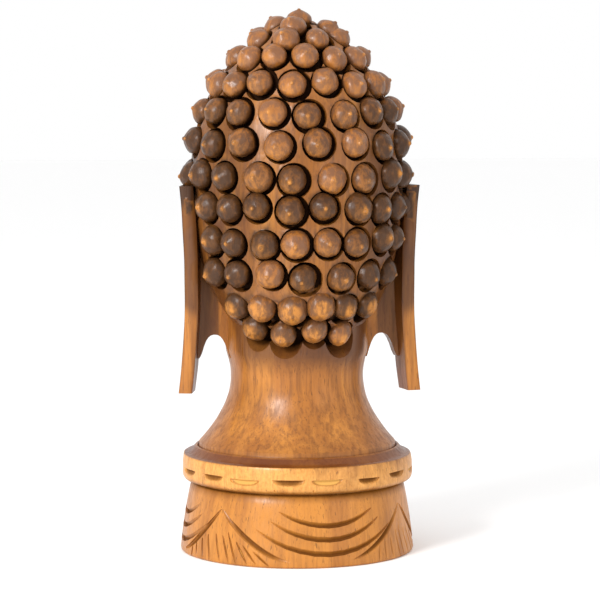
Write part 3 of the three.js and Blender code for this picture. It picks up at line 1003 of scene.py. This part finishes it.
def paintWood(mesh):
    columns = {}
    for vertex in mesh.vertices:
        for name, value in finishOf(vertex.co, vertex.normal).items():
            columns.setdefault(name, []).append(value)
    for name, column in columns.items():
        mesh.attributes.new(name, "FLOAT", "POINT").data.foreach_set("value", column)


# Assembling the carving

def combineGroups(block, make, operation):  # the curls or their trenches, a group at a time
    for group in curlGroups():
        bm = bmesh.new()
        for place in group:
            make(bm, place)
        combine(block, solidObject("group", bm), operation)


def carve():
    block = makeHead()
    print("head shaped", len(block.data.polygons), "faces")
    combine(block, makeStand(), "UNION")
    combineGroups(block, makeTrench, "DIFFERENCE")
    print("trenches cut")
    for build in (makeEar, makeWeb):
        right = build()
        left = mirrored(right, "left")
        combine(block, right, "UNION")
        combine(block, left, "UNION")
    print("ears joined")
    combineGroups(block, makeCurl, "UNION")
    print("curls set")
    cuts = skirtCuts()
    bandCuts(cuts[0])
    for bm in cuts:
        combine(block, solidObject("strokes", bm), "DIFFERENCE")
    print("stand gouged")
    return block


def finishPiece(block):
    bm = bmesh.new()
    bm.from_mesh(block.data)
    bmesh.ops.remove_doubles(bm, verts=bm.verts, dist=drawing["mergeWithin"])
    bmesh.ops.triangulate(bm, faces=bm.faces)
    bmesh.ops.dissolve_degenerate(bm, dist=drawing["mergeWithin"] / 2, edges=bm.edges)
    bm.to_mesh(block.data)
    bm.free()
    mesh = block.data
    paintWood(mesh)
    mesh.transform(Matrix.Scale(metresPerMm, 4))
    mesh.shade_smooth()
    mesh.set_sharp_from_angle(angle=math.radians(drawing["sharpAngle"]))
    mesh.update()
    print("carving", len(mesh.polygons), "triangles")


# The wood

wood = {
    "pale": (0.72, 0.34, 0.085),  # the band
    "honey": (0.50, 0.195, 0.032),
    "amber": (0.33, 0.115, 0.018),
    "brown": (0.11, 0.034, 0.007),
    "cherry": (0.095, 0.018, 0.002),  # stain on the shoulder
    "groundStainAndShade": (0.07, 0.022, 0.006),  # stain on the shoulder, and painted shade low on the ears' inner faces
    "walnut": (0.17, 0.068, 0.027),  # the curls, from this
    "umber": (0.03, 0.013, 0.006),  # to this
    "groove": (0.10, 0.032, 0.007),  # painted shade on the floors of the stand's cuts and in the groove under the band
    "raw": (0.75, 0.42, 0.11),  # and of those left unstained
    "dark": (0.008, 0.003, 0.0015),  # pores, and painted shade in the trenches, the ears' hollows and the face's creases
    "ragged": 0.006,  # how far the finishes run into each other, in metres
    "roughness": 0.34,
    "coatRoughness": 0.22,
    "bump": 0.0007,
}


def makeNode(tree, kind, **settings):
    made = tree.nodes.new(kind)
    for key, value in settings.items():
        if key.startswith("in_"):
            made.inputs[key[3:]].default_value = value
        else:
            setattr(made, key, value)
    return made


def woodMaterial():
    material = bpy.data.materials.new("oiledWood")
    material.use_nodes = True
    tree = material.node_tree
    tree.nodes.clear()
    link = tree.links.new

    def noisy(upright, scale, detail, rough, warp=0.0, shift=(0, 0, 0)):
        # upright: how fast the noise changes up the block, against 1 across it
        mapping = makeNode(tree, "ShaderNodeMapping", in_Scale=(1, 1, upright), in_Location=shift)
        link(coords.outputs["Object"], mapping.inputs["Vector"])
        made = makeNode(tree, "ShaderNodeTexNoise", in_Scale=scale, in_Detail=detail, in_Roughness=rough)
        made.inputs["Distortion"].default_value = warp
        link(mapping.outputs["Vector"], made.inputs["Vector"])
        return made.outputs["Fac"]

    def remap(value, low, high, toLow=0.0, toHigh=1.0):
        made = makeNode(tree, "ShaderNodeMapRange", interpolation_type="SMOOTHSTEP")
        ends = {"From Min": low, "From Max": high, "To Min": toLow, "To Max": toHigh}
        for socket, end in ends.items():
            made.inputs[socket].default_value = end
        link(value, made.inputs["Value"])
        return made.outputs["Result"]

    def reckoned(operation, a, b, clamped):
        made = makeNode(tree, "ShaderNodeMath", operation=operation, use_clamp=clamped)
        for socket, value in zip(made.inputs, (a, b)):
            if isinstance(value, (int, float)):
                socket.default_value = value
            else:
                link(value, socket)
        return made.outputs["Value"]

    def product(a, b):
        return reckoned("MULTIPLY", a, b, True)

    def total(a, b):
        return reckoned("ADD", a, b, False)

    def mixed(amount, a, b):
        made = makeNode(tree, "ShaderNodeMix", data_type="RGBA")
        for socket, value in ((made.inputs[0], amount), (made.inputs[6], a), (made.inputs[7], b)):
            if isinstance(value, (int, float)):
                socket.default_value = value
            elif isinstance(value, tuple):
                socket.default_value = (*value, 1.0)
            else:
                link(value, socket)
        return made.outputs[2]

    def remapMm(value, low, high, toLow=0.0, toHigh=1.0):  # low and high as places in the drawing
        return remap(value, low * metresPerMm, high * metresPerMm, toLow, toHigh)

    def painted(name):
        return makeNode(tree, "ShaderNodeAttribute", attribute_name=name).outputs["Fac"]

    coords = makeNode(tree, "ShaderNodeTexCoord")
    hollow, worn, tone = painted("hollow"), painted("worn"), painted("tone")
    stainAndShade, raw, curl = painted("stainAndShade"), painted("raw"), painted("curl")
    # grain: long fibres up the block, broad soft bands and short dark pores
    fibres = noisy(0.05, 420, 6, 0.65, 0.4)
    bands = noisy(0.14, 46, 4, 0.55, 1.2)
    clouds = noisy(0.7, 17, 3, 0.6, 0.6, shift=(3, 1, 7))
    pores = noisy(0.09, 1500, 2, 0.5, shift=(5, 2, 1))
    speckle = noisy(0.6, 700, 3, 0.7, shift=(1, 8, 2))
    place = makeNode(tree, "ShaderNodeSeparateXYZ")
    link(coords.outputs["Object"], place.inputs["Vector"])
    up = place.outputs["Z"]
    ragged = total(up, remap(clouds, 0.3, 0.7, -wood["ragged"], wood["ragged"]))
    overStand = remapMm(ragged, bandTop - 2.5, bandTop + 7.5)
    underRim = remapMm(up, bandTop - 0.5, bandTop + 0.5, 1, 0)
    overSkirt = remapMm(ragged, stand["skirtHeight"] - 1.4, stand["skirtHeight"] + 2.6)
    onBand = product(overSkirt, underRim)
    bare = mixed(remap(bands, 0.4, 0.66, 0, 0.7), wood["honey"], wood["amber"])
    bare = mixed(product(onBand, remap(speckle, 0.3, 0.7, 0.9, 0.4)), bare, wood["pale"])
    bare = mixed(product(overStand, remap(bands, 0.35, 0.6, 0.15, 0.75)), bare, wood["amber"])
    bare = mixed(remap(clouds, 0.5, 0.75, 0, 0.5), bare, wood["brown"])
    streaks = product(remap(fibres, 0.42, 0.66, 0, 0.5), remap(overStand, 0, 1, 0.5, 1))
    bare = mixed(streaks, bare, wood["brown"])
    bare = mixed(remap(pores, 0.62, 0.72, 0, 0.55), bare, wood["dark"])
    bare = mixed(remap(speckle, 0.6, 0.78, 0, 0.35), bare, wood["brown"])
    # stain, with painted shade inside the ears and under the nape's curls, and the curls' own darker
    # finish, paler on one side and with a painted highlight at their tips
    inHair = remapMm(up, headBottom - 7, headBottom - 3)
    stainAndShadeTone = mixed(inHair, wood["cherry"], wood["groundStainAndShade"])
    stainedAndShaded = mixed(product(stainAndShade, remap(clouds, 0.25, 0.6, 1.0, 0.75)), bare, stainAndShadeTone)
    mottle = noisy(0.5, 330, 4, 0.7, shift=(2, 4, 6))
    # the curls' colour follows their tone, which the crown's painted highlight raises
    hair = mixed(remap(tone, 0.0, 1.0), wood["umber"], wood["walnut"])
    patches = product(remap(mottle, 0.44, 0.65, 0, 0.8), remap(tone, 0, 0.8, 0.2, 1))
    hair = mixed(patches, hair, wood["amber"])
    stainedAndShaded = mixed(product(curl, 0.93), stainedAndShaded, hair)
    # a curl paler on one side and a painted highlight at its tip, both in honey
    paled = product(worn, remap(mottle, 0.36, 0.6, 0.3, 1.0))
    stainedAndShaded = mixed(paled, stainedAndShaded, wood["honey"])
    # the ears' tops are nearly black behind
    outward = makeNode(tree, "ShaderNodeMath", operation="ABSOLUTE")
    link(place.outputs["X"], outward.inputs[0])
    onPlate = remapMm(outward.outputs["Value"], ear["reach"] - 11.9, ear["reach"] - 10.4)
    darkTop = total(up, remap(bands, 0.3, 0.7, -0.004, 0.004))
    darkTop = product(onPlate, remapMm(darkTop, earTop - 15.2, earTop - 9.2, 0, 0.8))
    stainedAndShaded = mixed(product(darkTop, remap(curl, 0, 0.5, 1, 0)), stainedAndShaded, wood["umber"])
    # painted shade in the hollows: the groove colour on the stand, nearly black higher up
    hollowShaded = mixed(product(hollow, remap(inHair, 0, 1, 0.9, 0)), stainedAndShaded, wood["groove"])
    trenchShade = product(remap(hollow, 0.1, 0.9), product(inHair, 0.97))
    hollowShaded = mixed(trenchShade, hollowShaded, wood["dark"])
    stainedAndShaded = mixed(product(raw, remap(hollow, 0.3, 0.8)), hollowShaded, wood["raw"])
    shader = makeNode(tree, "ShaderNodeBsdfPrincipled")
    shader.inputs["Coat Roughness"].default_value = wood["coatRoughness"]
    # less coat and sheen in the hollows, with their painted shade; the sheen also follows the curls'
    # tone, which the crown's painted highlight raises
    link(remap(hollow, 0, 0.7, 0.08, 0), shader.inputs["Coat Weight"])
    sheen = product(remap(hollow, 0, 0.8, 0.4, 0.02), remap(tone, 0, 1, 0.55, 1))
    link(sheen, shader.inputs["Specular IOR Level"])
    link(stainedAndShaded, shader.inputs["Base Color"])
    rough = remap(fibres, 0.3, 0.7, wood["roughness"] - 0.07, wood["roughness"] + 0.12)
    link(rough, shader.inputs["Roughness"])
    tooling = noisy(0.6, 110, 2, 0.5)
    facets = makeNode(tree, "ShaderNodeTexVoronoi", feature="SMOOTH_F1", in_Scale=300.0)
    facets.inputs["Smoothness"].default_value = 0.2
    link(coords.outputs["Object"], facets.inputs["Vector"])
    knifed = product(facets.outputs["Distance"], product(curl, 0.9))
    height = total(total(product(fibres, 0.3), product(tooling, 0.8)), knifed)
    height = total(height, product(mottle, product(curl, 0.8)))
    bump = makeNode(tree, "ShaderNodeBump", in_Strength=0.5, in_Distance=wood["bump"])
    link(height, bump.inputs["Height"])
    link(bump.outputs["Normal"], shader.inputs["Normal"])
    output = makeNode(tree, "ShaderNodeOutputMaterial")
    link(shader.outputs["BSDF"], output.inputs["Surface"])
    return material


# Floor, light and camera

studio = {
    "floor": (0.98, 0.98, 0.98),
    "floorRoughness": 0.85,
    "floorHalf": 6,
    "skylight": 1.0,
    "lamps": {  # how far towards the camera, to its left and up, in metres
        "keyLamp": {"towards": 1.1, "left": 0.75, "up": 0.75, "size": 0.45, "power": 19},
        "fillLamp": {"towards": 1.0, "left": -1.1, "up": 0.5, "size": 0.9, "power": 2},
    },
    "lampAim": 0.15,
    "cameraAzimuth": 173.0,
    "cameraDistance": 1.45,
    "cameraHeight": 0.27,
    "aim": (-0.0017, 0.0, 0.1393),
    "lens": 156.8,
}


def makeStudio():
    bm = bmesh.new()
    bmesh.ops.create_grid(bm, x_segments=1, y_segments=1, size=studio["floorHalf"])
    floor = inScene("floor", meshFrom(bm, "floor"))
    paper = bpy.data.materials.new("paperFloor")
    paper.use_nodes = True
    shader = paper.node_tree.nodes["Principled BSDF"]
    shader.inputs["Base Color"].default_value = (*studio["floor"], 1)
    shader.inputs["Roughness"].default_value = studio["floorRoughness"]
    floor.data.materials.append(paper)

    world = bpy.data.worlds.new("studio")
    bpy.context.scene.world = world
    world.use_nodes = True
    sky = world.node_tree.nodes["Background"]
    sky.inputs["Color"].default_value = (1, 1, 1, 1)
    sky.inputs["Strength"].default_value = studio["skylight"]
    behind = math.radians(studio["cameraAzimuth"])
    toCamera = Vector((math.sin(behind), -math.cos(behind), 0))
    toLeft = Vector((-math.cos(behind), -math.sin(behind), 0))
    aim = Vector((0, 0, studio["lampAim"]))
    for name, values in studio["lamps"].items():
        lamp = bpy.data.lights.new(name, "AREA")
        lamp.shape = "DISK"
        lamp.size = values["size"]
        lamp.energy = values["power"]
        made = inScene(name, lamp)
        made.location = toCamera * values["towards"] + toLeft * values["left"]
        made.location.z += values["up"]
        made.rotation_euler = (aim - made.location).to_track_quat("-Z", "Y").to_euler()

    camera = bpy.data.cameras.new("camera")
    camera.lens = studio["lens"]
    camera.sensor_width = 36
    camera.clip_end = 50
    made = inScene("camera", camera)
    made.location = toCamera * studio["cameraDistance"] + Vector((0, 0, studio["cameraHeight"]))
    made.rotation_euler = (Vector(studio["aim"]) - made.location).to_track_quat("-Z", "Y").to_euler()
    bpy.context.scene.camera = made


bpy.context.scene.view_settings.view_transform = "Standard"
makeStudio()
print("studio ready")
carving = carve()
carving.name = "carvedHead"
finishPiece(carving)
carving.data.materials.clear()
carving.data.materials.append(woodMaterial())
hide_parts(headNode)
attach(carving, "root")
